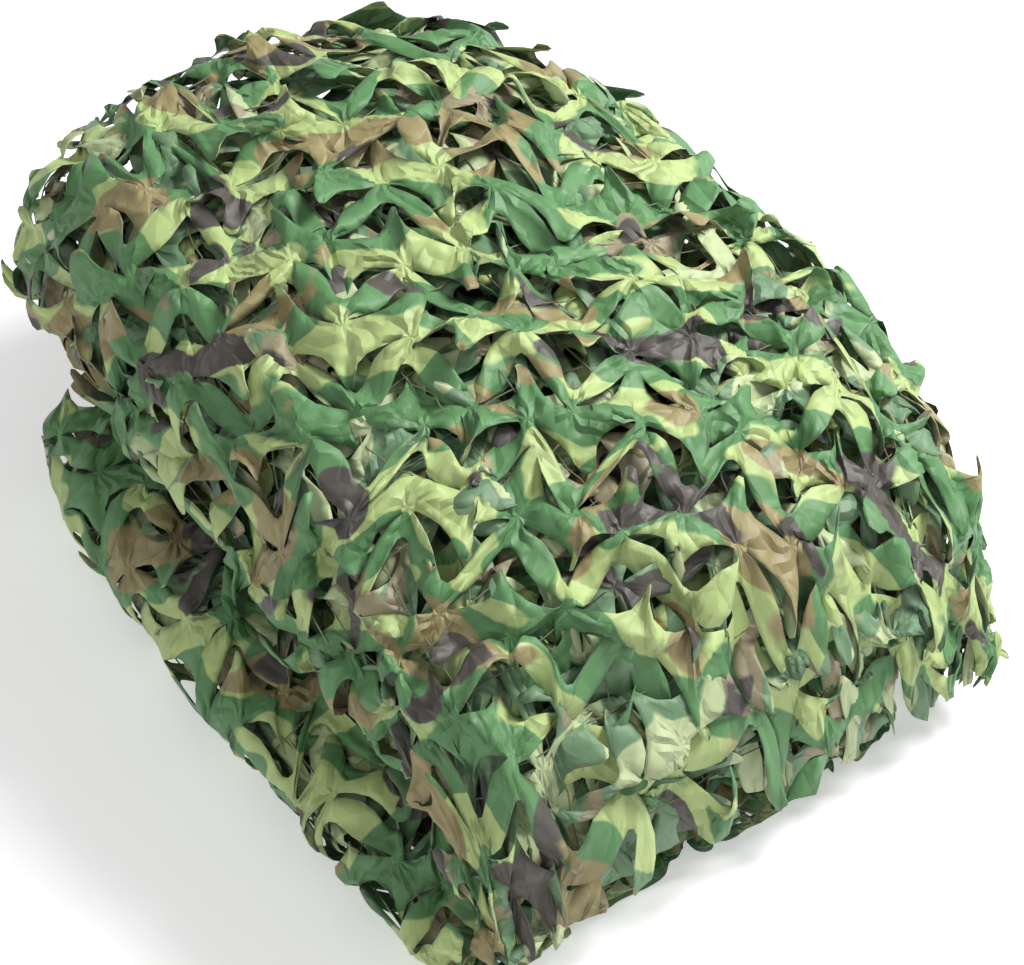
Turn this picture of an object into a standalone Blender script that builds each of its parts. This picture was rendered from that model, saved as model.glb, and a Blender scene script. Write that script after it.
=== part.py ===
# A camouflage net folded into a thick bundle and laid on the floor.
# Two pieces: the leaf-cut cloth, one sheet folded back and forth in seven plies,
# and the tied cord net that backs it on its inner side.
# Frame: +X runs along the folds, +Y across them, +Z up. Metres.
import math
import random

import bmesh
import bpy
import numpy as np
from mathutils import Vector, noise

# Sheet and cord
CLOTH_THICK = 0.003
CORD_THICK = 0.0018
CORD_GAP = 0.0009
HALF = CLOTH_THICK / 2

# The plies of the section at mid length, floor upward: where each ply's near (-Y)
# and far (+Y) edges lie, its height at the near edge, middle and far edge, and how
# far it hangs down past either edge. The pressed ply is levelled on the floor.
PRESSED = -0.002
PLY_COLUMNS = ("name", "near", "far", "z_near", "z_mid", "z_far",
               "near_hang", "far_hang", "part")
PLIES = (
    ("tucked", -0.132, 0.138, 0.040, 0.040, 0.041, 0.000, 0.000, "low"),
    ("floor", -0.192, 0.148, PRESSED, PRESSED, PRESSED, 0.000, 0.000, "low"),
    ("low", -0.192, 0.144, 0.080, 0.075, 0.072, 0.000, 0.000, "low"),
    ("second", -0.098, 0.144, 0.112, 0.111, 0.104, 0.000, 0.000, "inner"),
    ("third", -0.098, 0.144, 0.150, 0.152, 0.136, 0.000, 0.000, "inner"),
    ("fourth", -0.124, 0.140, 0.192, 0.196, 0.173, 0.073, 0.000, "inner"),
    ("top", -0.165, 0.222, 0.224, 0.245, 0.207, 0.113, 0.166, "upper"),
)
TURN_BULGE = 0.022

# Reach of each part toward the -X and +X ends, and how it changes there: the
# stack sinks to a lower height, its near and far sides draw in, the top ply droops
# and its near edge sets back.
PART_COLUMNS = ("name", "left", "right", "relief")
PARTS = (
    ("low", 0.226, 0.224, 0.008),
    ("inner", 0.262, 0.224, 0.004),
    ("hang", 0.306, 0.240, 0.000),
    ("upper", 0.318, 0.245, 0.013),
)
END_COLUMNS = ("name", "sink", "near_in", "far_in", "droop", "set_back")
ENDS = (
    ("left", 0.120, 0.085, 0.330, 0.12, 0.018),
    ("right", 0.488, 0.009, 0.255, 0.50, -0.010),
)
TOP_SKEW = -0.049
STACK_HIGH = 0.245
LOW_SINK = 0.4
END_POWER = 2.2
SHOULDER = 0.68
ROUND_OFF = math.radians(62)
HALF_WIDTH = 0.280

# Lattice of leaf cuts: rows follow the path over the folds, columns run along X
ROWS = 24
COLUMNS = 7
CREASE_STEP = math.radians(62)
CUT_REACH = 0.60
ZIGZAG = 0.16
EDGE_IN = 0.010
NET_ROWS = 2

# Broad dents of the loosely folded stack
DENT = 0.007
DENT_SCALE = 7.0
SEED = 41


def column(table, names, key):
    place = names.index(key)
    return {row[0]: row[place] for row in table}


def ply_points(row):
    """Section points of one ply from its near edge to its far edge."""
    ply = dict(zip(PLY_COLUMNS, row))
    near, far = ply["near"], ply["far"]
    points = []
    if ply["near_hang"]:
        foot = ply["z_near"] - ply["near_hang"]
        points.append((near - 0.004, foot))
        points.append((near - 0.006, foot + 0.5 * ply["near_hang"]))
        points.append((near + 0.012, ply["z_near"]))
    else:
        points.append((near, ply["z_near"]))
    crown = ply["z_mid"] - (ply["z_near"] + ply["z_far"]) / 2
    for share in (0.25, 0.50, 0.75):
        level = ply["z_near"] + (ply["z_far"] - ply["z_near"]) * share
        rise = crown * 4 * share * (1 - share)
        points.append((near + (far - near) * share, level + rise))
    if ply["far_hang"]:
        points.append((far - 0.020, ply["z_far"]))
        points.append((far + 0.004, ply["z_far"] - 0.45 * ply["far_hang"]))
        points.append((far + 0.006, ply["z_far"] - ply["far_hang"]))
    else:
        points.append((far, ply["z_far"]))
    part = ply["part"]
    hangs = "hang" if part == "inner" else part
    lined = 2 if ply["near_hang"] else 0
    return [(y, z, hangs if place < lined else part)
            for place, (y, z) in enumerate(points)]


def section_controls():
    """Control points of the whole section, ply after ply, turning at the folds."""
    points = []
    for count, row in enumerate(PLIES):
        run = ply_points(row)
        if count % 2:
            run.reverse()
        points.append(run)
    controls = []
    for count, run in enumerate(points):
        for place, (y, z, part) in enumerate(run):
            meets = None
            if place == 0 and count > 0:
                meets = points[count - 1][-1]
            if place == len(run) - 1 and count + 1 < len(points):
                meets = points[count + 1][0]
            if meets and part != "hang":
                y += math.copysign(TURN_BULGE, y)
                if abs(meets[1] - z) > 0.02:
                    z += (meets[1] - z) * 0.06
            controls.append((y, z, part))
    return controls


def smooth_section(per_span=24):
    """B-spline through the controls, as even steps of length along the cloth.
    Columns: y, z, left reach, right reach, relief, share that is top ply."""
    left = column(PARTS, PART_COLUMNS, "left")
    right = column(PARTS, PART_COLUMNS, "right")
    relief = column(PARTS, PART_COLUMNS, "relief")
    rows = []
    for y, z, part in section_controls():
        top = 1.0 if part in ("hang", "upper") else 0.0
        rise = 0.0 if z < HALF else relief[part]
        if part != "upper" and y > 0.10:
            rise = 0.0
        rows.append((y, z, left[part], right[part], rise, top))
    points = np.array(rows)
    points = np.vstack([2 * points[0] - points[1], points,
                        2 * points[-1] - points[-2]])
    spans = len(points) - 3
    u = np.linspace(0, spans, spans * per_span + 1)
    i = np.minimum(u.astype(int), spans - 1)
    f = (u - i)[:, None]
    curve = ((1 - f) ** 3 * points[i]
             + (3 * f ** 3 - 6 * f ** 2 + 4) * points[i + 1]
             + (-3 * f ** 3 + 3 * f ** 2 + 3 * f + 1) * points[i + 2]
             + f ** 3 * points[i + 3]) / 6
    steps = np.linalg.norm(np.diff(curve[:, :2], axis=0), axis=1)
    length = np.concatenate([[0.0], np.cumsum(steps)])
    return length, curve


LENGTH, CURVE = smooth_section()
PATH = float(LENGTH[-1])


def section_at(s):
    return [float(np.interp(s, LENGTH, CURVE[:, k])) for k in range(6)]


def ends_at(t):
    """Values of the nearer end, and how far the station is into that end."""
    name = "right" if t > 0 else "left"
    end = {key: column(ENDS, END_COLUMNS, key)[name] for key in END_COLUMNS[1:]}
    return end, abs(t) ** END_POWER


def across(t):
    """Even steps of cloth over the flat middle and round the shoulders."""
    a = abs(t)
    span = (1 - SHOULDER) * math.sin(ROUND_OFF) / ROUND_OFF
    flat = SHOULDER / (SHOULDER + span)
    if a <= SHOULDER:
        return math.copysign(flat * a / SHOULDER, t), 0.0
    angle = (a - SHOULDER) / (1 - SHOULDER) * ROUND_OFF
    reach = flat + (1 - flat) * math.sin(angle) / math.sin(ROUND_OFF)
    return math.copysign(reach, t), (1 - math.cos(angle)) / (1 - math.cos(ROUND_OFF))


def off_floor(z, least, knee):
    """Height eased so that it never falls under the least one."""
    if z >= least + knee:
        return z
    if knee < 1e-6:
        return least
    return least + knee * math.exp((z - least) / knee - 1)


def surface(s, t):
    """Mid-surface of the cloth; s is length over the folds, t is -1 to 1 along X."""
    y, z, left, right, _, top = section_at(s)
    end, into = ends_at(t)
    reach, fall = across(t)
    x = (t + (reach - t) * top) * (right if t > 0 else left)
    lift = z - HALF
    sink = end["sink"] * (LOW_SINK + (1 - LOW_SINK) * lift / STACK_HIGH)
    height = lift * (1 - sink * into) * (1 + TOP_SKEW * t * top)
    height *= 1 - top * fall * end["droop"]
    set_back = end["set_back"] * into * top * min(max(-y / 0.1, 0.0), 1.0)
    y = y * (1 - end["near_in" if y < 0 else "far_in"] * into) + set_back
    point = Vector((x, y, HALF + height))
    free = min(lift / 0.03, 1.0)
    dent = noise.noise(Vector((x, y, 0.0)) * DENT_SCALE + Vector((3.1, 7.7, 0.4)))
    point.z += dent * DENT * 2 * (height / 0.243)
    point.z = off_floor(point.z, HALF + 0.010 * top, 0.040 * top)
    sway = noise.noise(Vector((x * 1.3, point.z * 2, 5.0)) * DENT_SCALE)
    point.y += sway * DENT * free
    return point


def frame_at(s, t):
    """Point and outward unit normal of the mid-surface."""
    ds, dt = 0.002, 0.006
    along = surface(min(s + ds, PATH), t) - surface(max(s - ds, 0), t)
    sideways = surface(s, min(t + dt, 1)) - surface(s, max(t - dt, -1))
    return surface(s, t), sideways.cross(along).normalized()


def relief_at(s, t):
    """Height to which leaves lift, less where the stack is pressed together."""
    end, into = ends_at(t)
    _, _, _, _, relief, top = section_at(s)
    pressed = (1 - end["sink"] * into) * (1 - top * across(t)[1] * end["droop"])
    return relief * pressed


def crease_stations():
    """Lengths along the path at which the cloth has turned by one more step."""
    stations = []
    turned, before = 0.0, None
    for s in np.arange(0.004, PATH - 0.004, 0.002):
        a, b = section_at(s - 0.002), section_at(s + 0.002)
        heading = math.atan2(b[1] - a[1], b[0] - a[0])
        if before is not None:
            turn = (heading - before + math.pi) % (2 * math.pi) - math.pi
            turned += abs(turn)
        before = heading
        if turned > CREASE_STEP:
            stations.append(float(s))
            turned = 0.0
    return stations


def fold(flat):
    """Crease the flat closed mesh (length, width, offset) and lay it in its folds."""
    for s in crease_stations():
        parts = flat.verts[:] + flat.edges[:] + flat.faces[:]
        bmesh.ops.bisect_plane(flat, geom=parts, dist=1e-5, plane_co=(s, 0, 0),
                               plane_no=(1, 0, 0))
    for vertex in flat.verts:
        s, v, offset = vertex.co
        point, normal = frame_at(min(max(s, 0.0), PATH), v / HALF_WIDTH)
        vertex.co = point + normal * offset
        vertex.co.z = max(vertex.co.z, 0.0)


def finish(mesh, name, rgba):
    """Object with its own material from a closed mesh."""
    bmesh.ops.recalc_face_normals(mesh, faces=mesh.faces[:])
    if mesh.calc_volume(signed=True) < 0:
        bmesh.ops.reverse_faces(mesh, faces=mesh.faces[:])
    data = bpy.data.meshes.new(name)
    mesh.to_mesh(data)
    mesh.free()
    body = bpy.data.objects.new(name, data)
    bpy.context.scene.collection.objects.link(body)
    material = bpy.data.materials.new(name)
    material.use_nodes = True
    shader = material.node_tree.nodes["Principled BSDF"]
    shader.inputs["Base Color"].default_value = rgba
    shader.inputs["Roughness"].default_value = 0.85
    data.materials.append(material)
    return body


def lattice():
    """Points (length, width, rise) where strips of leaves meet and turn, at every
    half row and half column. The border wanders, the inner lines zigzag."""
    chance = random.Random(SEED)
    row, half_column = PATH / ROWS, HALF_WIDTH / COLUMNS
    points = {}
    for i in range(2 * ROWS + 1):
        for j in range(2 * COLUMNS + 1):
            if i % 2 and j % 2:
                continue
            s, v = i * row / 2, (j - COLUMNS) * half_column
            border_s, border_v = i in (0, 2 * ROWS), j in (0, 2 * COLUMNS)
            if j % 2 == 0 and not border_v:
                v += (-ZIGZAG if i % 2 else ZIGZAG) * half_column
                v += chance.uniform(-0.10, 0.10) * half_column
            if i % 2 == 0 and not border_s:
                s += (ZIGZAG if j % 2 else -ZIGZAG) * 0.35 * row
                s += chance.uniform(-0.04, 0.04) * row
            if border_v:
                v -= math.copysign(EDGE_IN * chance.uniform(0, 0.7), v)
            share = 0.0 if (i + j) % 2 == 0 else chance.uniform(0.3, 0.8)
            rise = relief_at(s, v / HALF_WIDTH) * share
            points[i, j] = Vector((s, v, rise))
    return points


def cell_ring(i, j, rows=1):
    """Lattice places round the cells from half row i and half column j."""
    right = [(k, j + 2) for k in range(i, i + 2 * rows + 1)]
    left = [(k, j) for k in range(i + 2 * rows, i, -1)]
    return [(i, j), (i, j + 1)] + right + [(i + 2 * rows, j + 1)] + left


def cloth(points):
    """The cut cloth: openings between zigzag strips, their rims lifted as leaves."""
    chance = random.Random(SEED + 1)
    mesh = bmesh.new()
    made = {}

    def vertex(key, point, side):
        if (key, side) not in made:
            lifted = point + Vector((0, 0, side * HALF))
            made[key, side] = mesh.verts.new(lifted)
        return made[key, side]

    uses = {}
    for i in range(0, 2 * ROWS, 2):
        for j in range(0, 2 * COLUMNS, 2):
            ring = cell_ring(i, j)
            middle = sum((points[key] for key in ring), Vector()) / len(ring)
            rim = []
            for key in ring:
                corner = (key[0] - i) != 1 and (key[1] - j) != 1
                reach = CUT_REACH * (0.78 if corner else 1.0)
                reach *= chance.uniform(0.88, 1.08)
                spot = middle.lerp(points[key], reach)
                spot.z = relief_at(spot.x, spot.y / HALF_WIDTH)
                spot.z *= chance.uniform(0.15, 1.0)
                rim.append(spot)
            for k, key in enumerate(ring):
                n = (k + 1) % len(ring)
                after = ring[n]
                uses.setdefault(frozenset((key, after)), []).append((key, after))
                here, there = (i, j, k), (i, j, n)
                for side in (1, -1):
                    a, b = vertex(key, points[key], side), vertex(after, points[after], side)
                    c, d = vertex(there, rim[n], side), vertex(here, rim[k], side)
                    mesh.faces.new((a, b, c) if k % 2 else (a, b, d))
                    mesh.faces.new((a, c, d) if k % 2 else (b, c, d))
                mesh.faces.new((vertex(here, rim[k], 1), vertex(there, rim[n], 1),
                                vertex(there, rim[n], -1),
                                vertex(here, rim[k], -1)))
    for pairs in uses.values():
        if len(pairs) == 1:
            a, b = pairs[0]
            mesh.faces.new((made[a, 1], made[b, 1], made[b, -1], made[a, -1]))
    fold(mesh)
    return finish(mesh, "garnish_cloth", (0.14, 0.26, 0.09, 1.0))


def cord_net(points):
    """Four-sided cords under the lattice lines, along every column and every
    second row, on the cloth's inner side, fused at their knots."""
    mesh = bmesh.new()
    depth = HALF + CORD_GAP + CORD_THICK / 2
    made = {}

    def core(key, side):
        if (key, side) not in made:
            level = Vector((0, 0, side * CORD_THICK / 2 - depth))
            made[key, side] = mesh.verts.new(points[key] + level)
        return made[key, side]

    uses = {}
    for i in range(0, 2 * ROWS, 2 * NET_ROWS):
        for j in range(0, 2 * COLUMNS, 2):
            ring = cell_ring(i, j, NET_ROWS)
            flanks = []
            for k, key in enumerate(ring):
                before, after = points[ring[k - 1]], points[ring[(k + 1) % len(ring)]]
                ahead = (after - points[key]).normalized()
                ahead += (points[key] - before).normalized()
                inward = Vector((ahead.y, -ahead.x, 0)).normalized()
                level = Vector((0, 0, -depth))
                flanks.append(mesh.verts.new(
                    points[key] + inward * CORD_THICK * 0.55 + level))
            for k, key in enumerate(ring):
                n = (k + 1) % len(ring)
                after = ring[n]
                uses.setdefault(frozenset((key, after)), []).append((key, after))
                for side in (1, -1):
                    mesh.faces.new((core(key, side), core(after, side),
                                    flanks[n], flanks[k]))
    for pairs in uses.values():
        if len(pairs) == 1:
            a, b = pairs[0]
            mesh.faces.new((core(a, 1), core(b, 1), core(b, -1), core(a, -1)))
    fold(mesh)
    return finish(mesh, "cord_net", (0.07, 0.09, 0.05, 1.0))


def centre(bodies):
    """Move the bodies so that the middle of their box stands over the origin."""
    spots = np.array([v.co for body in bodies for v in body.data.vertices])
    low, high = spots.min(axis=0), spots.max(axis=0)
    shift = Vector((-(low[0] + high[0]) / 2, -(low[1] + high[1]) / 2, -low[2]))
    for body in bodies:
        for vertex in body.data.vertices:
            vertex.co += shift
    return shift


def main():
    for stale in list(bpy.data.objects):
        bpy.data.objects.remove(stale, do_unlink=True)
    points = lattice()
    centre([cloth(points), cord_net(points)])


main()
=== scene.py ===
# A camouflage net folded into a thick bundle: leaf-cut cloth on a tied cord net.
import math
import random

import bmesh
import bpy
import numpy as np
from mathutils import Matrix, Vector, kdtree, noise


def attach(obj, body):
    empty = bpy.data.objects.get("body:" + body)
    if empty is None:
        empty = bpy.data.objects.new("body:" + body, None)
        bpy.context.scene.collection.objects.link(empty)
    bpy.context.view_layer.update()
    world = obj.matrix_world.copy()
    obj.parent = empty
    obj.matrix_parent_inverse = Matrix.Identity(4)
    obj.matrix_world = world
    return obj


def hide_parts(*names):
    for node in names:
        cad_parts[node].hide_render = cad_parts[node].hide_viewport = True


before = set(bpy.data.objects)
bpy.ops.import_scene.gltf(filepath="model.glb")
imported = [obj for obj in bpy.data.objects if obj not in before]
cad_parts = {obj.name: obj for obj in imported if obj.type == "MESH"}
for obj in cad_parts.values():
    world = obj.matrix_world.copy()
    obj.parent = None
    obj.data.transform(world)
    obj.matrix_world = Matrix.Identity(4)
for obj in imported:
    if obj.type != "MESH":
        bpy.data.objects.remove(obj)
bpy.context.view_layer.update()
scene = bpy.context.scene

# The folds, in metres. Each ply, from the floor upward: its name, near and far edge,
# height near, in the middle and far, how far it hangs near and far, its part of the
# stack, and how freely its leaves stand off it.
folds = {
    "plies": (
        ("tucked", -0.132, 0.138, 0.040, 0.040, 0.041, 0.000, 0.000, "low", 0.50),
        ("floor", -0.192, 0.148, -0.002, -0.002, -0.002, 0.000, 0.000, "low", 0.30),
        ("low", -0.192, 0.144, 0.080, 0.075, 0.072, 0.000, 0.000, "low", 1.00),
        ("second", -0.098, 0.144, 0.112, 0.111, 0.104, 0.000, 0.000, "inner", 0.70),
        ("third", -0.098, 0.144, 0.150, 0.152, 0.136, 0.000, 0.000, "inner", 0.70),
        ("fourth", -0.124, 0.140, 0.192, 0.196, 0.173, 0.073, 0.000, "inner", 0.80),
        ("top", -0.165, 0.222, 0.224, 0.245, 0.207, 0.113, 0.166, "upper", 1.00),
    ),
    "nearHem": (-0.004, -0.006, 0.012), "farHem": (-0.020, 0.004, 0.006),
    "bulge": 0.022, "deepTurn": 0.02, "turnLean": 0.06,
    "reach": {"low": (0.226, 0.224), "inner": (0.262, 0.224),
              "hang": (0.306, 0.240), "upper": (0.318, 0.245)},
    "left": {"sink": 0.120, "nearIn": 0.085, "farIn": 0.330, "droop": 0.12, "setBack": 0.018},
    "right": {"sink": 0.488, "nearIn": 0.009, "farIn": 0.255, "droop": 0.50, "setBack": -0.010},
    "topSkew": -0.049, "stackHigh": 0.245, "lowSink": 0.4, "setBackOver": 0.1,
    "endPower": 2.2, "shoulder": 0.68, "roundOff": math.radians(62),
    "halfWidth": 0.280, "halfThick": 0.0015, "floorGap": 0.010, "floorKnee": 0.040,
    "dent": 0.007, "dentScale": 7.0, "dentFrom": (3.1, 7.7, 0.4), "dentHigh": 0.243,
    "shift": (0.0373, -0.0088), "perSpan": 24,
}


def plyRun(ply):
    # section points of one ply, near edge to far edge: y, z, part, freedom
    _, near, far, zNear, zMid, zFar, nearHang, farHang, part, free = ply
    run = []
    if nearHang:
        hangs = "hang" if part == "inner" else part
        tip, side, brow = folds["nearHem"]
        foot = zNear - nearHang
        run.append((near + tip, foot, hangs, free))
        run.append((near + side, foot + 0.5 * nearHang, hangs, free))
        run.append((near + brow, zNear, part, free))
    else:
        run.append((near, zNear, part, free))
    crown = zMid - (zNear + zFar) / 2
    for share in (0.25, 0.50, 0.75):
        z = zNear + (zFar - zNear) * share + crown * 4 * share * (1 - share)
        run.append((near + (far - near) * share, z, part, free))
    if farHang:
        brow, side, tip = folds["farHem"]
        run.append((far + brow, zFar, part, free))
        run.append((far + side, zFar - 0.45 * farHang, part, free))
        run.append((far + tip, zFar - farHang, part, free))
    else:
        run.append((far, zFar, part, free))
    return run


def foldSection():
    # B-spline through all the plies: length along the cloth, and for each point
    # y, z, left reach, right reach, share of top ply, freedom
    runs = []
    for count, ply in enumerate(folds["plies"]):
        run = plyRun(ply)
        if count % 2:
            run.reverse()
        runs.append(run)
    rows = []
    for count, run in enumerate(runs):
        for place, (y, z, part, free) in enumerate(run):
            meets = None
            if place == 0 and count > 0:
                meets = runs[count - 1][-1]
            if place == len(run) - 1 and count + 1 < len(runs):
                meets = runs[count + 1][0]
            if meets and part != "hang":
                y += math.copysign(folds["bulge"], y)
                if abs(meets[1] - z) > folds["deepTurn"]:
                    z += (meets[1] - z) * folds["turnLean"]
            left, right = folds["reach"][part]
            top = 1.0 if part in ("hang", "upper") else 0.0
            rows.append((y, z, left, right, top, free))
    points = np.array(rows)
    points = np.vstack([2 * points[0] - points[1], points, 2 * points[-1] - points[-2]])
    spans = len(points) - 3
    u = np.linspace(0, spans, spans * folds["perSpan"] + 1)
    i = np.minimum(u.astype(int), spans - 1)
    f = (u - i)[:, None]
    curve = ((1 - f) ** 3 * points[i] + (3 * f ** 3 - 6 * f ** 2 + 4) * points[i + 1]
             + (-3 * f ** 3 + 3 * f ** 2 + 3 * f + 1) * points[i + 2]
             + f ** 3 * points[i + 3]) / 6
    steps = np.linalg.norm(np.diff(curve[:, :2], axis=0), axis=1)
    return np.concatenate([[0.0], np.cumsum(steps)]), curve


lengths, section = foldSection()
pathLength = float(lengths[-1])


def foldPoint(row, t):
    # a point of the folded cloth; row is its place in the section, t is -1 to 1
    y, z, left, right, top, _ = row
    end = folds["right" if t > 0 else "left"]
    into = abs(t) ** folds["endPower"]
    shoulder, roundOff = folds["shoulder"], folds["roundOff"]
    span = (1 - shoulder) * math.sin(roundOff) / roundOff
    flat = shoulder / (shoulder + span)
    if abs(t) <= shoulder:
        reach, fall = math.copysign(flat * abs(t) / shoulder, t), 0.0
    else:
        angle = (abs(t) - shoulder) / (1 - shoulder) * roundOff
        reach = math.copysign(flat + (1 - flat) * math.sin(angle) / math.sin(roundOff), t)
        fall = (1 - math.cos(angle)) / (1 - math.cos(roundOff))
    half = folds["halfThick"]
    x = (t + (reach - t) * top) * (right if t > 0 else left)
    lift = z - half
    sink = end["sink"] * (folds["lowSink"] + (1 - folds["lowSink"]) * lift / folds["stackHigh"])
    height = lift * (1 - sink * into) * (1 + folds["topSkew"] * t * top)
    height *= 1 - top * fall * end["droop"]
    setBack = end["setBack"] * into * top * min(max(-y / folds["setBackOver"], 0.0), 1.0)
    y = y * (1 - end["nearIn" if y < 0 else "farIn"] * into) + setBack
    dent = noise.noise(Vector((x, y, 0.0)) * folds["dentScale"] + Vector(folds["dentFrom"]))
    level = half + height + dent * folds["dent"] * 2 * (height / folds["dentHigh"])
    least, knee = half + folds["floorGap"] * top, folds["floorKnee"] * top
    if level < least + knee:
        level = least + knee * math.exp((level - least) / knee - 1) if knee > 1e-6 else least
    sway = noise.noise(Vector((x * 1.3, level * 2, 5.0)) * folds["dentScale"])
    y += sway * folds["dent"] * min(lift / 0.03, 1.0)
    return x + folds["shift"][0], y + folds["shift"][1], level


def foldGrid(stepsAlong=540, stepsAcross=72):
    # points and outward normals of the folded cloth
    s = np.linspace(0, pathLength, stepsAlong + 1)
    t = np.linspace(-1, 1, stepsAcross + 1)
    rows = np.stack([np.interp(s, lengths, section[:, k]) for k in range(6)], axis=1)
    points = np.array([[foldPoint(row, float(place)) for place in t] for row in rows])
    along = np.gradient(points, s, axis=0)
    sideways = np.gradient(points, t, axis=1)
    normals = np.cross(sideways, along)
    normals /= np.linalg.norm(normals, axis=2, keepdims=True)
    wide = rows[:, 4] * folds["halfWidth"] + (1 - rows[:, 4]) * (rows[:, 2] + rows[:, 3]) / 2
    return s, t, points, normals, rows[:, 5], wide


gridS, gridT, gridPoints, gridNormals, gridFree, gridWide = foldGrid()
print("folds ready:", round(pathLength, 3), "m along the cloth")

# How cloth and cord are laid: how far they may pass an end, and the low ripples that
# they keep where the floor stops them
laying = {"beyond": 0.06, "floorGap": 0.0004, "floorStir": 0.0012, "ripple": (310, 270)}


def layOn(spots, stand, stir):
    # lay flat spots (across, along, offset) on the folds, clear of the floor
    s = np.clip(spots[:, 1], 0, pathLength)
    t = spots[:, 0] / np.interp(s, gridS, gridWide)
    inside = np.clip(t, -1, 1)
    fs = s / pathLength * (len(gridS) - 1)
    ft = (inside + 1) / 2 * (len(gridT) - 1)
    i = np.minimum(fs.astype(int), len(gridS) - 2)
    j = np.minimum(ft.astype(int), len(gridT) - 2)
    a, b = (fs - i)[:, None], (ft - j)[:, None]

    def mix(grid):
        return ((1 - a) * (1 - b) * grid[i, j] + a * (1 - b) * grid[i + 1, j]
                + (1 - a) * b * grid[i, j + 1] + a * b * grid[i + 1, j + 1])

    points, normals = mix(gridPoints), mix(gridNormals)
    normals /= np.linalg.norm(normals, axis=1, keepdims=True)
    sideways = mix(np.gradient(gridPoints, gridT, axis=1))
    along = mix(np.gradient(gridPoints, gridS, axis=0))
    beyond = np.clip(t - inside, -laying["beyond"], laying["beyond"])
    points = points + sideways * beyond[:, None] + along * (spots[:, 1] - s)[:, None]
    offset = stand + spots[:, 2] * stir * np.interp(s, gridS, gridFree)
    placed = points + normals * offset[:, None]
    across, up = laying["ripple"]
    ripple = np.abs(np.sin(spots[:, 0] * across) * np.sin(spots[:, 1] * up))
    placed[:, 2] = np.maximum(placed[:, 2], laying["floorGap"] + laying["floorStir"] * ripple)
    return placed


# Leaf cuts: parallel wavy lines, each cut through but for a short bridge a period.
# Neighbouring lines are bridged at opposite tips, so that the cloth opens in leaves.
# Every second strip carries round lobes. The strips between them give up that cloth,
# so they are spaced a little wider.
leafCut = {
    "period": 0.066, "pitch": 0.0270, "swing": 0.0095, "tipBend": 0.60,
    "lobe": 0.015, "lobeHalf": 0.0088, "lobeFull": (3, 0.6), "crestFree": 0.35,
    "columns": (0.0, 0.109, 0.200, 0.260, 0.42, 0.58, 0.740, 0.800, 0.891),
    "rowsPerLine": 4, "bridgeColumns": 1, "lopsided": -0.12,
    "ragged": 0.0009, "raggedScale": 90, "sway": 0.0040, "swayScale": 22,
    "turn": math.radians(55), "drawnIn": 0.94, "pulledOut": 1.00, "parted": 0.0040,
    "length": 1.34, "width": 0.580, "spare": 0.03, "offCloth": 0.05,
}
halfPeriod, perHalf = leafCut["period"] / 2, len(leafCut["columns"])


def knotNumber(line, place):
    # one number for each knot, above zero
    return (line + 500) * 1000 + place + 500


def turnOf(shrink=(1, 1)):
    # turns places along and across the cuts to places across and along the folds
    c, s = math.cos(leafCut["turn"]), math.sin(leafCut["turn"])
    return np.array([[c * shrink[0], -s * shrink[1]], [s * shrink[0], c * shrink[1]]])


def fromBridge(column, line):
    # columns from the middle of the nearest bridge on a line of cuts
    middle = 0 if line % 2 == 0 else perHalf
    return (column - middle + perHalf) % (2 * perHalf) - perHalf


def clothGrid(spread):
    # a grid over the cloth, each corner at its whole column and row; gives also the
    # half period and the line of cuts that it starts at
    rows, pitch = leafCut["rowsPerLine"], leafCut["pitch"]
    wide, long = leafCut["width"] / 2, leafCut["length"] / 2
    corners = np.array([(x, y) for x in (-wide, wide) for y in (-long, long)])
    corners = corners @ np.linalg.inv(spread).T
    least, most = corners.min(axis=0) - leafCut["spare"], corners.max(axis=0) + leafCut["spare"]
    firstHalf, lastHalf = math.floor(least[0] / halfPeriod), math.ceil(most[0] / halfPeriod)
    firstLine, lastLine = math.floor(least[1] / pitch), math.ceil(most[1] / pitch)
    across, up = (lastHalf - firstHalf) * perHalf, (lastLine - firstLine) * rows
    cloth = bmesh.new()
    bmesh.ops.create_grid(cloth, x_segments=across, y_segments=up, size=0.5)
    off = []
    for corner in cloth.verts:
        corner.co = (round((corner.co.x + 0.5) * across), round((corner.co.y + 0.5) * up), 0)
        u = (firstHalf + corner.co.x / perHalf) * halfPeriod
        w = (firstLine + corner.co.y / rows) * pitch
        x, y = spread @ (u, w)
        if abs(x) > wide + leafCut["offCloth"] or abs(y) > long + leafCut["offCloth"]:
            off.append(corner)
    bmesh.ops.delete(cloth, geom=off, context="VERTS")
    return cloth, firstHalf, firstLine


def slitCloth(cloth, firstHalf, firstLine):
    # cut the grid along its lines, all but the bridges; gives the strips at each corner
    rows = leafCut["rowsPerLine"]
    cuts = []
    for edge in cloth.edges:
        a, b = edge.verts
        row = round(a.co.y)
        if round(b.co.y) != row or row % rows or edge.is_boundary:
            continue
        column = min(a.co.x, b.co.x) + 0.5 + perHalf * firstHalf
        if abs(fromBridge(column, row // rows + firstLine)) > leafCut["bridgeColumns"]:
            cuts.append(edge)
    bmesh.ops.split_edges(cloth, edges=cuts)
    strips = {}
    for patch in cloth.faces:
        level = math.floor(patch.calc_center_median().y / rows)
        for corner in patch.verts:
            strips.setdefault(corner, set()).add(level)
    return strips


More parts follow.
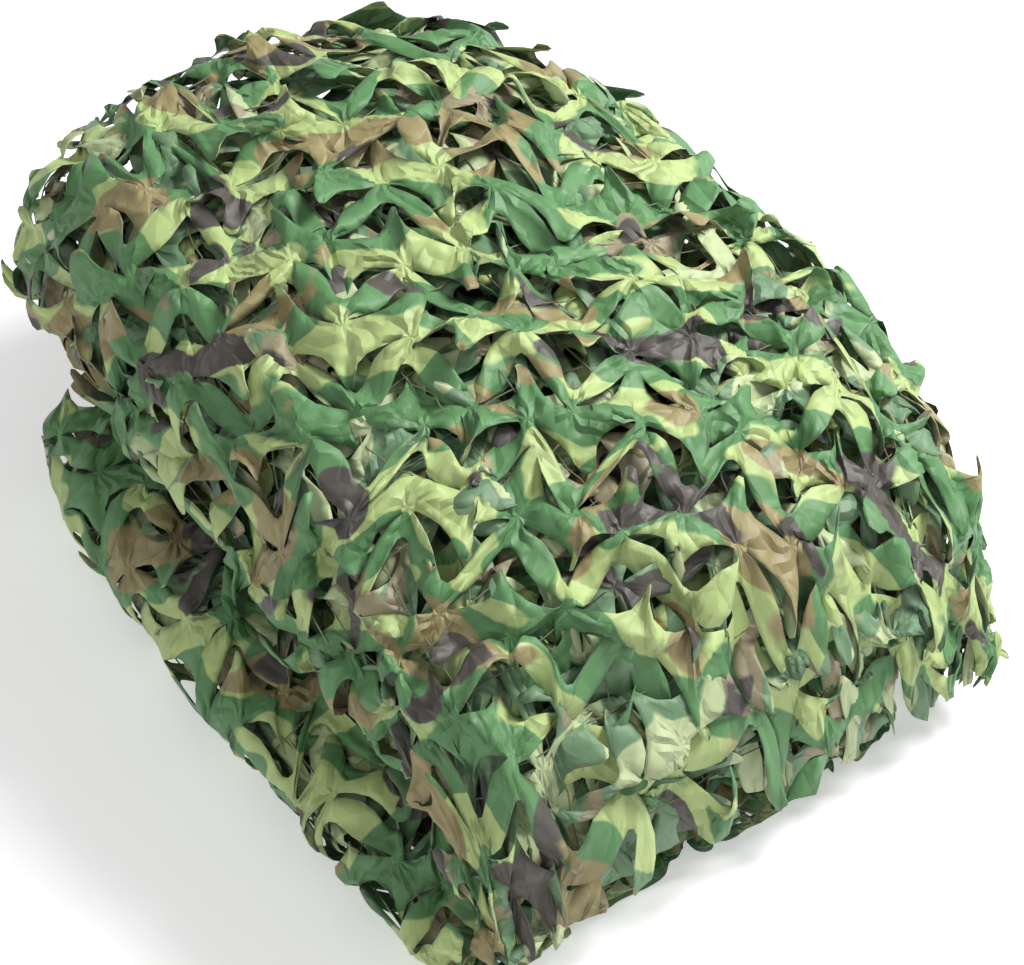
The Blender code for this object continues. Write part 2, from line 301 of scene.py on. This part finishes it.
def cutCloth():
    # one length of cloth, flat, with wavy cuts, lobes and knots, trimmed to its sides
    rows, pitch = leafCut["rowsPerLine"], leafCut["pitch"]
    spread = turnOf((leafCut["drawnIn"], leafCut["pulledOut"]))
    cloth, firstHalf, firstLine = clothGrid(spread)
    strips = slitCloth(cloth, firstHalf, firstLine)
    tie = cloth.verts.layers.int.new("tie")
    lobe = cloth.verts.layers.float.new("lobe")
    bend = leafCut["tipBend"]
    steep, blunt = leafCut["lobeFull"]
    for corner in cloth.verts:
        column, row = round(corner.co.x), round(corner.co.y)
        whole, part = divmod(column, perHalf)
        u = (firstHalf + whole + leafCut["columns"][part]) * halfPeriod
        line = row / rows + firstLine
        near = round(line)
        if abs(line - near) < 0.3:  # the bridge and the rows beside it are tied
            column += perHalf * firstHalf
            aside = fromBridge(column, near)
            if abs(aside) <= leafCut["bridgeColumns"]:
                corner[tie] = knotNumber(near, (column - aside) // perHalf)
        # round lobes: odd lines reach up at the crests, even lines down at the troughs
        swell = math.cos(math.pi * u / halfPeriod)
        crest = u - 2 * halfPeriod * round(u / (2 * halfPeriod))
        aside = crest if swell > 0 else halfPeriod - abs(crest)
        lobed = max(0, 1 - abs(aside / leafCut["lobeHalf"]) ** steep) ** blunt
        odd = 1 - abs(line % 2 - 1)
        reached = lobed * (odd if swell > 0 else odd - 1)
        strip = min(strips.get(corner, (0,)))
        if len(strips.get(corner, ())) == 1 and (strip + firstLine) % 2 == 0:
            share = row / rows - strip
            share = share if swell > 0 else 1 - share
            free = leafCut["crestFree"] * abs(swell) ** 1.5 + (1 - leafCut["crestFree"]) * lobed
            corner[lobe] = math.copysign(free * share ** 2, swell)
        w = (line + leafCut["lopsided"] * odd) * pitch
        w += leafCut["swing"] * (math.asin(bend * swell) / math.asin(bend))
        w += leafCut["lobe"] * reached
        w += leafCut["ragged"] * noise.noise(Vector((u * leafCut["raggedScale"], near * 3.7, 0)))
        at = Vector((u * leafCut["swayScale"], w * leafCut["swayScale"], 3.3))
        u += leafCut["sway"] * noise.noise(at)
        w += leafCut["sway"] * noise.noise(at + Vector((9, 0, 0)))
        x, y = spread @ (u, w)
        corner.co = (x, y, 0)
    wide, long = leafCut["width"] / 2, leafCut["length"] / 2
    for place, way in (((-wide, 0, 0), (-1, 0, 0)), ((wide, 0, 0), (1, 0, 0)),
                       ((0, -long, 0), (0, -1, 0)), ((0, long, 0), (0, 1, 0))):
        parts = cloth.verts[:] + cloth.edges[:] + cloth.faces[:]
        bmesh.ops.bisect_plane(cloth, geom=parts, dist=1e-5, plane_co=place,
                               plane_no=way, clear_outer=True)
    return cloth, spread


# How the cords draw the bridges together, and how the cloth gives
drawn = {
    "jitter": 0.003, "rise": 0.003, "yaw": 0.24, "tiltAlong": 0.55, "tiltAcross": 0.35,
    "bias": 0.0005, "crumple": 0.0035, "crumpleScale": 45, "drift": 0.008, "driftScale": 9.0,
    "pinch": 0.72, "mostSlip": 0.020, "seed": 7, "eased": 1, "easing": (0.55, -0.50),
    "frames": 20, "settle": 6, "quality": 4, "mass": 0.12, "stretch": 20, "shear": 8,
    "bending": 0.6, "bendingDamping": 0.5, "air": 1.5,
}
# How the open lobes curl up off the folds
curled = {
    "rise": 0.026, "most": 0.016, "back": 0.5, "scale": 30.0,
    "base": 0.55, "uneven": 1.3, "limits": (-0.35, 1.2),
}


def easeCreases(mesh, spots):
    # smooth out the smallest crumples; cut edges are eased along themselves alone,
    # and each step is taken back by about as much, so that nothing shrinks
    ends = np.array([edge.vertices for edge in mesh.edges])
    uses = np.zeros(len(mesh.edges), int)
    for polygon in mesh.polygons:
        for loop in polygon.loop_indices:
            uses[mesh.loops[loop].edge_index] += 1
    rimEdge = uses == 1
    onRim = np.zeros(len(spots), bool)
    onRim[ends[rimEdge].ravel()] = True
    pairs = np.vstack([ends, ends[:, ::-1]])
    rimPair = np.concatenate([rimEdge, rimEdge])
    pairs = pairs[~onRim[pairs[:, 0]] | rimPair]
    count = np.bincount(pairs[:, 0], minlength=len(spots))[:, None]
    for _ in range(drawn["eased"]):
        for step in drawn["easing"]:
            total = np.zeros_like(spots)
            np.add.at(total, pairs[:, 0], spots[pairs[:, 1]])
            spots = spots + step * (total / np.maximum(count, 1) - spots)
    return spots


def mapCloth(cloth, flat, knots):
    # two maps: place on the flat cloth, and place about the nearest knot
    nearest = kdtree.KDTree(len(knots))
    for place, members in enumerate(knots):
        nearest.insert(flat[members].mean(axis=0), place)
    nearest.balance()
    clothMap = cloth.loops.layers.uv.new("cloth")
    knotMap = cloth.loops.layers.uv.new("knot")
    for patch in cloth.faces:
        corners = [flat[corner.index] for corner in patch.verts]
        knot = nearest.find(sum(corners) / len(corners))[0]
        for loop, spot in zip(patch.loops, corners):
            loop[clothMap].uv = spot[:2]
            loop[knotMap].uv = (spot[0] - knot.x, spot[1] - knot.y)


def drawKnots(start, flat, goal, knots, ties, turn):
    # where the corners of each knot are pulled to: together, aside, turned and tilted
    chance = random.Random(drawn["seed"])
    pulled = start.copy()
    for members in knots:
        middle = goal[members].mean(axis=0)
        at = Vector(middle) * drawn["driftScale"]
        drift = [noise.noise(at + Vector((5, 0, 0))), noise.noise(at + Vector((0, 5, 0))), 0]
        jitter = [chance.gauss(0, drawn["jitter"]), chance.gauss(0, drawn["jitter"]),
                  chance.gauss(0, drawn["rise"])]
        yaw, roll = chance.gauss(0, drawn["yaw"]), chance.gauss(0, drawn["tiltAlong"])
        pitch = chance.gauss(0, drawn["tiltAcross"])
        spin = np.array([[math.cos(yaw), -math.sin(yaw), 0],
                         [math.sin(yaw), math.cos(yaw), 0], [0, 0, 1]])
        spin = spin @ np.array([[math.cos(pitch), 0, math.sin(pitch)], [0, 1, 0],
                                [-math.sin(pitch), 0, math.cos(pitch)]])
        spin = spin @ np.array([[1, 0, 0], [0, math.cos(roll), -math.sin(roll)],
                                [0, math.sin(roll), math.cos(roll)]])
        about = (flat[members] - flat[members].mean(axis=0)) * (drawn["pinch"], 1, 1)
        # lines part in pairs, which swings the strips between them open
        part = leafCut["parted"] * (1 if (ties[members[0]] // 1000) % 2 else -1)
        pulled[members] = (middle + jitter + np.array(drift) * drawn["drift"] * 2
                           + turn @ (0, part, 0) + about @ spin.T @ turn.T)
    return pulled


def settleCloth(body, pulled, held):
    # Cloth simulation while the knots are drawn in; gives the settled mesh
    body.shape_key_add(name="flat")
    key = body.shape_key_add(name="drawn")
    key.data.foreach_set("co", pulled.ravel())
    body.vertex_groups.new(name="tied").add(held, 1.0, "REPLACE")
    cover = body.modifiers.new("cloth", "CLOTH")
    give = cover.settings
    give.quality, give.mass, give.air_damping = drawn["quality"], drawn["mass"], drawn["air"]
    give.tension_stiffness = give.compression_stiffness = drawn["stretch"]
    give.shear_stiffness = drawn["shear"]
    give.bending_stiffness, give.bending_damping = drawn["bending"], drawn["bendingDamping"]
    give.vertex_group_mass = "tied"
    give.effector_weights.gravity = 0.0
    cover.collision_settings.use_collision = False
    last = drawn["frames"] + drawn["settle"]
    scene.frame_start, scene.frame_end = 1, last
    cover.point_cache.frame_start, cover.point_cache.frame_end = 1, last
    for value, when in ((0.0, 1), (1.0, drawn["frames"])):
        key.value = value
        key.keyframe_insert("value", frame=when)
    for when in range(1, last + 1):
        scene.frame_set(when)
    done = bpy.data.meshes.new_from_object(
        body.evaluated_get(bpy.context.evaluated_depsgraph_get()))
    bpy.data.objects.remove(body)
    for action in list(bpy.data.actions):
        bpy.data.actions.remove(action)
    scene.frame_set(1)
    return done


def curlLobes(mesh, spots, flat, turn):
    # open lobes curl up off the folds and back towards their roots
    lobes = np.empty(len(spots))
    mesh.attributes["lobe"].data.foreach_get("value", lobes)
    uneven = np.array([noise.noise(Vector(spot) * curled["scale"]) for spot in flat])
    share = np.clip(curled["base"] + curled["uneven"] * uneven, *curled["limits"])
    curl = curled["rise"] * np.abs(lobes) * share
    spots[:, 2] = curled["most"] * np.tanh((spots[:, 2] + curl) / curled["most"])
    spots[:, :2] -= (np.sign(lobes) * np.abs(curl) * curled["back"])[:, None] * turn[:2, 1]


def drawUp():
    # the flat cut cloth, its bridges drawn to the cord net; gives its mesh and places
    cloth, spread = cutCloth()
    cloth.verts.index_update()
    goal = np.array([corner.co for corner in cloth.verts])
    tie = cloth.verts.layers.int["tie"]
    ties = np.array([corner[tie] for corner in cloth.verts])
    flat = np.zeros_like(goal)
    flat[:, :2] = goal[:, :2] @ np.linalg.inv(spread).T
    turn = np.eye(3)
    turn[:2, :2] = turnOf()
    start = flat @ turn.T
    crumple = np.array([noise.noise(Vector(spot) * drawn["crumpleScale"]) for spot in start])
    start[:, 2] = crumple * drawn["crumple"] + drawn["bias"]
    order = np.argsort(ties, kind="stable")
    knots = [members for members in np.split(order, np.flatnonzero(np.diff(ties[order])) + 1)
             if ties[members[0]]]
    mapCloth(cloth, flat, knots)
    for corner in cloth.verts:
        corner.co = start[corner.index]
    mesh = bpy.data.meshes.new("cutCloth")
    cloth.to_mesh(mesh)
    cloth.free()
    body = bpy.data.objects.new("cutCloth", mesh)
    scene.collection.objects.link(body)
    pulled = drawKnots(start, flat, goal, knots, ties, turn)
    done = settleCloth(body, pulled, [int(k) for members in knots for k in members])
    spots = np.empty(len(done.vertices) * 3)
    done.vertices.foreach_get("co", spots)
    spots = easeCreases(done, spots.reshape(-1, 3))
    slip = spots[:, :2] - goal[:, :2]
    far = np.linalg.norm(slip, axis=1, keepdims=True)
    most = drawn["mostSlip"] + drawn["drift"]
    spots[:, :2] = goal[:, :2] + slip * np.minimum(1, most / np.maximum(far, 1e-6))
    curlLobes(done, spots, flat, turn)
    return done, spots


drawnCloth, drawnSpots = drawUp()
print("cloth drawn up:", len(drawnSpots), "points, rise",
      np.round(drawnSpots[:, 2].min(), 4), np.round(drawnSpots[:, 2].max(), 4))

# Colours of the print and of the cord
paint = {
    "light": (0.42, 0.535, 0.205, 1), "mid": (0.100, 0.245, 0.090, 1),
    "tan": (0.30, 0.25, 0.112, 1), "dark": (0.085, 0.075, 0.064, 1),
    "cord": (0.10, 0.11, 0.055, 1), "cordPale": (0.24, 0.25, 0.14, 1),
}
# The print: blotches over light green, each with its start, its fineness and the level
# above which it shows; then uneven dye, the rib, crumpled facets and fanned folds
printed = {
    "blotches": (("mid", (0.31, 0.77, 0), 15, 0.475), ("tan", (4.1, 2.3, 0), 13, 0.59),
                 ("dark", (7.7, 5.9, 0), 15, 0.625)),
    "squeeze": (1.0, 1.5, 1), "detail": 1.2, "softness": 0.45, "crisp": 70,
    "warpScale": 28, "warp": 0.022,
    "dyeScale": 60, "dyeDetail": 3, "dyeSpread": 0.45, "dyeBase": 0.68,
    "ribScale": 480, "ribWaver": 1.2, "ribTone": 0.20, "ribHigh": 0.05,
    "roughBase": 0.42, "roughSpread": 0.20, "facetScale": 44, "facetHigh": 9.0,
    "fanFolds": 0.955, "fanWaver": 4.0, "fanHigh": 420, "fanReach": (0.024, 0.010),
    "sheen": 0.08, "sheenRough": 0.4, "millimetre": 0.001,
}


def addNode(tree, kind, inputs, **settings):
    # a new shader node; an input takes a value, or another node's output
    made = tree.nodes.new("ShaderNode" + kind)
    for name, value in settings.items():
        setattr(made, name, value)
    for name, value in inputs.items():
        if isinstance(value, bpy.types.NodeSocket):
            tree.links.new(value, made.inputs[name])
        else:
            made.inputs[name].default_value = value
    return made


def maths(tree, kind, *values, clamp=False):
    made = addNode(tree, "Math", dict(enumerate(values)), operation=kind, use_clamp=clamp)
    return made.outputs[0]


def blend(tree, share, under, over):
    mixed = addNode(tree, "Mix", {"Factor": share, "A": under, "B": over}, data_type="RGBA")
    return mixed.outputs["Result"]


def blotchedColour(group, place):
    # blotches of three colours over the light one
    colour = paint["light"]
    for name, start, scale, cut in printed["blotches"]:
        moved = addNode(group, "Mapping", {"Vector": place, "Location": start,
                                           "Scale": printed["squeeze"]})
        blot = addNode(group, "TexNoise", {"Vector": moved.outputs[0], "Scale": scale,
                                           "Detail": printed["detail"],
                                           "Roughness": printed["softness"]})
        crisp = printed["crisp"]
        edge = maths(group, "MULTIPLY_ADD", blot.outputs["Fac"], crisp, -crisp * cut, clamp=True)
        colour = blend(group, edge, colour, paint[name])
    return colour


def fanHeight(group, knot, waver):
    # folds that fan out of a knot and fade away from it
    split = addNode(group, "SeparateXYZ", {0: knot})
    reach = addNode(group, "VectorMath", {0: knot}, operation="LENGTH").outputs["Value"]
    angle = maths(group, "ARCTAN2", split.outputs["Y"], split.outputs["X"])
    turned = maths(group, "ADD", maths(group, "MULTIPLY", angle, printed["fanFolds"]),
                   maths(group, "MULTIPLY", waver, printed["fanWaver"]))
    fan = maths(group, "PINGPONG", turned, 0.5)
    outer, inner = printed["fanReach"]
    near = addNode(group, "MapRange", {"Value": reach, "From Min": outer, "From Max": inner,
                                       "To Min": 0, "To Max": printed["fanHigh"]},
                   interpolation_type="SMOOTHSTEP")
    return maths(group, "MULTIPLY", maths(group, "MULTIPLY", fan, near.outputs["Result"]), reach)


def clothPrint():
    # group: colour, roughness and height of the printed, woven cloth at a place on it
    group = bpy.data.node_groups.new("clothPrint", "ShaderNodeTree")
    for name, kind in (("Place", "Vector"), ("Knot", "Vector"), ("Faded", "Float")):
        group.interface.new_socket(name, in_out="INPUT", socket_type="NodeSocket" + kind)
    for name, kind in (("Color", "Color"), ("Roughness", "Float"), ("Height", "Float")):
        group.interface.new_socket(name, in_out="OUTPUT", socket_type="NodeSocket" + kind)
    given = group.nodes.new("NodeGroupInput").outputs
    ready = group.nodes.new("NodeGroupOutput").inputs
    warp = addNode(group, "TexNoise", {"Vector": given["Place"], "Scale": printed["warpScale"],
                                       "Detail": 1})
    shove = addNode(group, "VectorMath", {0: warp.outputs["Color"], 2: given["Place"],
                                          1: (printed["warp"], printed["warp"], 0)},
                    operation="MULTIPLY_ADD")
    colour = blotchedColour(group, shove.outputs[0])
    uneven = addNode(group, "TexNoise", {"Vector": given["Place"], "Scale": printed["dyeScale"],
                                         "Detail": printed["dyeDetail"]}).outputs["Fac"]
    rib = addNode(group, "TexWave", {"Vector": given["Place"], "Scale": printed["ribScale"],
                                     "Distortion": printed["ribWaver"], "Detail Scale": 0.4},
                  bands_direction="DIAGONAL").outputs["Fac"]
    bright = maths(group, "MULTIPLY_ADD", uneven, printed["dyeSpread"], printed["dyeBase"])
    bright = maths(group, "MULTIPLY_ADD", rib, printed["ribTone"], bright)
    tone = addNode(group, "HueSaturation", {
        "Color": colour, "Value": bright, "Saturation": maths(group, "SUBTRACT", 1.0, given["Faded"])})
    group.links.new(tone.outputs[0], ready["Color"])
    rough = maths(group, "MULTIPLY_ADD", uneven, printed["roughSpread"], printed["roughBase"])
    group.links.new(rough, ready["Roughness"])
    # heights in millimetres
    facets = addNode(group, "TexVoronoi", {"Scale": printed["facetScale"], "Vector": given["Place"]},
                     feature="DISTANCE_TO_EDGE").outputs["Distance"]
    crumple = maths(group, "MULTIPLY", maths(group, "MULTIPLY", facets, printed["facetHigh"]), uneven)
    relief = maths(group, "ADD", crumple, fanHeight(group, given["Knot"], warp.outputs["Fac"]))
    relief = maths(group, "MULTIPLY_ADD", rib, printed["ribHigh"], relief)
    group.links.new(relief, ready["Height"])
    return group


printGroup = clothPrint()


def bumpedMaterial(name):
    # a material with a bump on its shader
    material = bpy.data.materials.new(name)
    material.use_nodes = True
    tree = material.node_tree
    shader = tree.nodes["Principled BSDF"]
    bump = addNode(tree, "Bump", {})
    tree.links.new(bump.outputs[0], shader.inputs["Normal"])
    return material, tree, shader.inputs, bump.inputs


def printedCloth(name, faded):
    material, tree, shader, bump = bumpedMaterial(name)
    place = addNode(tree, "UVMap", {}, uv_map="cloth").outputs[0]
    knot = addNode(tree, "UVMap", {}, uv_map="knot").outputs[0]
    group = addNode(tree, "Group", {}, node_tree=printGroup)
    tree.links.new(place, group.inputs["Place"])
    tree.links.new(knot, group.inputs["Knot"])
    group.inputs["Faded"].default_value = faded
    tree.links.new(group.outputs["Color"], shader["Base Color"])
    tree.links.new(group.outputs["Roughness"], shader["Roughness"])
    tree.links.new(group.outputs["Height"], bump["Height"])
    bump["Strength"].default_value = 1.0
    bump["Distance"].default_value = printed["millimetre"]
    shader["Sheen Weight"].default_value = printed["sheen"]
    shader["Sheen Roughness"].default_value = printed["sheenRough"]
    return material


face = printedCloth("printedFace", 0.0)
reverse = printedCloth("printedReverse", 0.25)
rim = printedCloth("cutRim", 0.35)
print("print ready:", len(printGroup.nodes), "nodes")

# The layers of cloth laid on the folds, outermost first: name, how the drawn length is
# turned before it is laid (across, along, offset), how far off the folds it stands, how
# freely it stirs, where its print starts, its span and its flat size. A span runs
# along the folds from one length to another, and across them up to a share.
layers = {
    "thick": 0.0004, "seam": 1.30, "hem": 0.012, "ragged": (0.03, 0.06, 28), "rounded": 6,
    "spans": {"low": (-1, 1.30, 9), "high": (1.30, 9, 9), "end": (pathLength - 0.60, 9, -0.42)},
    "pieces": (
        ("garnishLow", (1, 1, 1), 0.0035, 1.0, 0.0, "low", (0.53, 1.26)),
        ("garnishHigh", (-1, -1, 1), 0.0035, 1.0, 0.37, "high", (0.58, 1.34)),
        ("garnishUnderLow", (-1, 1, -1), -0.0050, 0.9, 0.71, "low", (0.53, 1.26)),
        ("garnishUnderHigh", (1, -1, -1), -0.0050, 0.9, 1.13, "high", (0.58, 1.34)),
        ("garnishDeepLow", (-1, -1, 1), -0.0125, 0.85, 1.57, "low", (0.53, 1.26)),
        ("garnishDeepHigh", (1, 1, 1), -0.0125, 0.85, 1.91, "high", (0.58, 1.34)),
        ("garnishEnd", (-1, 1, -1), -0.0210, 0.8, 2.30, "end", (0.175, 0.60)),
    ),
}


def roundEnds(corners):
    # ease the stepped rim that trimming leaves
    rim = {}
    for corner in corners:
        edges = [edge for edge in corner.link_edges if edge.is_boundary]
        if len(edges) == 2:
            rim[corner] = [edge.other_vert(corner) for edge in edges]
    for _ in range(layers["rounded"]):
        eased = {corner: corner.co * 0.5 + (a.co + b.co) * 0.25 for corner, (a, b) in rim.items()}
        for corner, place in eased.items():
            corner.co = place


def dropScraps(trim):
    # bits that trimming cuts loose go, and the one large stretch of cloth stays
    seen, stretches = set(), []
    for start in trim.faces:
        if start in seen:
            continue
        seen.add(start)
        stretch = [start]
        for patch in stretch:
            for beside in (other for edge in patch.edges for other in edge.link_faces):
                if beside not in seen:
                    seen.add(beside)
                    stretch.append(beside)
        stretches.append(stretch)
    kept = max(stretches, key=len)
    scraps = [patch for stretch in stretches if stretch is not kept for patch in stretch]
    bmesh.ops.delete(trim, geom=scraps, context="FACES")


def trimCloth(trim, flatSpots, span):
    # keep what lies on the folds and in the span, with ragged ends
    low, high, side = layers["spans"][span]
    across = flatSpots[:, 0] / np.interp(flatSpots[:, 1], gridS, gridWide)
    past, swing, scale = layers["ragged"]
    reach = np.abs(across) - [past + swing * noise.noise(Vector(spot) * scale)
                              for spot in flatSpots]
    out = []
    for patch in trim.faces:
        first = patch.verts[0].index
        along = flatSpots[first, 1]
        if not (low <= along < high and -layers["hem"] < along < pathLength + layers["hem"]):
            out.append(patch)
        elif across[first] > side or min(reach[corner.index] for corner in patch.verts) > 1:
            out.append(patch)
    beside = {corner for patch in out for corner in patch.verts}
    bmesh.ops.delete(trim, geom=out, context="FACES")
    roundEnds(corner for corner in beside if corner.is_valid)
    dropScraps(trim)


def movePrint(trim, shift):
    # move the print along; gives the flat area that the cloth was cut to
    clothMap = trim.loops.layers.uv["cloth"]
    area = 0
    for patch in trim.faces:
        uv = [loop[clothMap].uv.copy() for loop in patch.loops]
        area += abs(sum(a.cross(b) for a, b in zip(uv, uv[1:] + uv[:1]))) / 2
        for loop in patch.loops:
            loop[clothMap].uv.x += shift
    return area


def clothPiece(name, way, stand, stir, shift, span):
    # one piece of the drawn cloth, laid on the lower or the upper folds
    middle = layers["seam"] / 2 if span == "low" else (layers["seam"] + pathLength) / 2
    flatSpots = drawnSpots * way + (0, middle, 0)
    mesh = drawnCloth.copy()
    mesh.name = name
    mesh.vertices.foreach_set("co", layOn(flatSpots, stand, stir).ravel())
    trim = bmesh.new()
    trim.from_mesh(mesh)
    trimCloth(trim, flatSpots, span)
    flatArea = movePrint(trim, shift)
    laidArea = sum(patch.calc_area() for patch in trim.faces)
    print(name, "cut flat", round(flatArea, 3), "laid", round(laidArea, 3), "square metres,",
          len(trim.faces), "faces")
    trim.to_mesh(mesh)
    trim.free()
    mesh.materials.clear()
    for material in (face, reverse, rim):
        mesh.materials.append(material)
    for polygon in mesh.polygons:
        polygon.use_smooth = True
    piece = bpy.data.objects.new(name, mesh)
    scene.collection.objects.link(piece)
    solid = piece.modifiers.new("thickness", "SOLIDIFY")
    solid.thickness = layers["thick"]
    solid.offset = 0
    solid.material_offset = 1
    solid.material_offset_rim = 2
    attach(piece, "root")
    return piece


for name, way, stand, stir, shift, span, flat in layers["pieces"]:
    piece = clothPiece(name, way, stand, stir, shift, span)
    if span == "low":
        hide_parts("garnish_cloth")

# Cord net: thin slack cords tied in a square mesh under the cloth
cordNet = {
    "mesh": 0.040, "cord": 0.0005, "step": 0.008, "stand": -0.003, "fromSide": 0.006,
    "fromEnd": 0.004, "least": 0.003, "inside": 0.010, "slack": 0.006, "slackScale": 14,
    "waver": 0.4, "sag": 0.005, "twistScale": 900, "twistHigh": 0.0003,
}


def cordRuns():
    # each cord on the flat cloth: places across, places along, and its number
    mesh, step, start = cordNet["mesh"], cordNet["step"], cordNet["fromEnd"]
    wide = folds["halfWidth"] - cordNet["fromSide"]
    runs = []
    for k in range(int(2 * wide / mesh) + 1):
        s = np.arange(start, pathLength - start, step)
        x = -wide + k * 2 * wide / int(2 * wide / mesh)
        runs.append((np.full_like(s, x), s, k))
    for k in range(int(pathLength / mesh) + 1):
        x = np.arange(-wide, wide, step)
        s = start + k * (pathLength - 2 * start) / int(pathLength / mesh)
        runs.append((x, np.full_like(x, s), k + 100))
    return runs


def slackSpots(x, s, k):
    # one cord's points with its slack and sag, kept inside the cloth's ends
    spots = []
    for a, b in zip(x, s):
        at = Vector((a * cordNet["slackScale"], b * cordNet["slackScale"], 0))
        slipX = (noise.noise(at + Vector((k * 0.35, 0, 3)))
                 + cordNet["waver"] * noise.noise(at * 4 + Vector((0, k, 1))))
        slipS = (noise.noise(at + Vector((0, k * 0.35, 9)))
                 + cordNet["waver"] * noise.noise(at * 4 + Vector((k, 0, 5))))
        drop = noise.noise(at * 2.2 + Vector((0, 0, k)))
        spots.append((a + slipX * cordNet["slack"] * 2, b + slipS * cordNet["slack"] * 2,
                      drop * cordNet["sag"]))
    spots = np.array(spots)
    spots[:, 1] = np.clip(spots[:, 1], cordNet["least"], pathLength - cordNet["least"])
    inner = np.interp(spots[:, 1], gridS, gridWide) - cordNet["inside"]
    spots[:, 0] = np.clip(spots[:, 0], -inner, inner)
    return spots


def tieCords():
    curve = bpy.data.curves.new("cordNet", "CURVE")
    curve.dimensions = "3D"
    curve.bevel_depth = cordNet["cord"]
    curve.bevel_resolution = 0
    curve.use_fill_caps = True
    for x, s, k in cordRuns():
        spots = layOn(slackSpots(x, s, k), cordNet["stand"], 1.0)
        line = curve.splines.new("POLY")
        line.points.add(len(spots) - 1)
        line.points.foreach_set("co", np.column_stack([spots, np.ones(len(spots))]).ravel())
    holder = bpy.data.objects.new("cordHolder", curve)
    scene.collection.objects.link(holder)
    made = bpy.data.meshes.new_from_object(
        holder.evaluated_get(bpy.context.evaluated_depsgraph_get()))
    bpy.data.objects.remove(holder)
    made.materials.clear()
    made.materials.append(cordFinish())
    piece = bpy.data.objects.new("cordNet", made)
    scene.collection.objects.link(piece)
    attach(piece, "root")
    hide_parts("cord_net")
    return piece


def cordFinish():
    material, tree, shader, bump = bumpedMaterial("twistedCord")
    place = addNode(tree, "TexCoord", {}).outputs["Object"]
    twist = addNode(tree, "TexNoise", {"Vector": place, "Scale": cordNet["twistScale"]}).outputs["Fac"]
    tree.links.new(blend(tree, twist, paint["cord"], paint["cordPale"]), shader["Base Color"])
    tree.links.new(twist, bump["Height"])
    bump["Strength"].default_value = 0.5
    bump["Distance"].default_value = cordNet["twistHigh"]
    shader["Roughness"].default_value = 0.7
    return material


cords = tieCords()
print("cords tied:", len(cords.data.polygons), "faces")

# Studio: pale floor, soft lights, camera
studio = {
    "azimuth": 54.00, "elevation": 45.70, "distance": 1.648, "lens": 94.8,
    "looksAt": (0, 0, 0.074), "aside": 0.0204, "down": 0.0143,
    "floor": (0.90, 0.90, 0.90, 1), "floorRough": 0.9, "floorGlow": 0.35, "floorSize": 6,
    "key": (48, 0.6), "fill": (3.5, 1.5), "world": 0.42,
}


def layFloor():
    ground = bmesh.new()
    bmesh.ops.create_grid(ground, x_segments=1, y_segments=1, size=studio["floorSize"])
    mesh = bpy.data.meshes.new("floor")
    ground.to_mesh(mesh)
    ground.free()
    floor = bpy.data.objects.new("floor", mesh)
    scene.collection.objects.link(floor)
    pale = bpy.data.materials.new("floor")
    pale.use_nodes = True
    shader = pale.node_tree.nodes["Principled BSDF"].inputs
    shader["Base Color"].default_value = studio["floor"]
    shader["Roughness"].default_value = studio["floorRough"]
    shader["Emission Color"].default_value = (1, 1, 1, 1)
    shader["Emission Strength"].default_value = studio["floorGlow"]
    mesh.materials.append(pale)


def hangLight(name, place, aim):
    light = bpy.data.lights.new(name, "AREA")
    light.energy, light.size = studio[name]
    lamp = bpy.data.objects.new(name, light)
    lamp.location = place
    lamp.rotation_euler = (aim - place).to_track_quat("-Z", "Y").to_euler()
    scene.collection.objects.link(lamp)


def setStudio():
    az, el = math.radians(studio["azimuth"]), math.radians(studio["elevation"])
    back = Vector((math.sin(az) * math.cos(el), -math.cos(az) * math.cos(el), math.sin(el)))
    right = Vector((math.cos(az), math.sin(az), 0))
    up = back.cross(right)
    middle = Vector(studio["looksAt"])
    camera = bpy.data.objects.new("camera", bpy.data.cameras.new("camera"))
    camera.data.lens = studio["lens"]
    camera.location = (middle + back * studio["distance"] + right * studio["aside"]
                       - up * studio["down"])
    camera.rotation_euler = back.to_track_quat("Z", "Y").to_euler()
    scene.collection.objects.link(camera)
    scene.camera = camera
    layFloor()
    hangLight("key", right * 0.9 + Vector((-0.2, 0.5, 1.6)), middle)
    hangLight("fill", back * 1.6 + right * -0.8, middle)
    world = bpy.data.worlds.new("studio")
    world.use_nodes = True
    world.node_tree.nodes["Background"].inputs["Color"].default_value = (1, 1, 1, 1)
    world.node_tree.nodes["Background"].inputs["Strength"].default_value = studio["world"]
    scene.world = world
    scene.view_settings.view_transform = "Standard"


setStudio()
print("studio set")
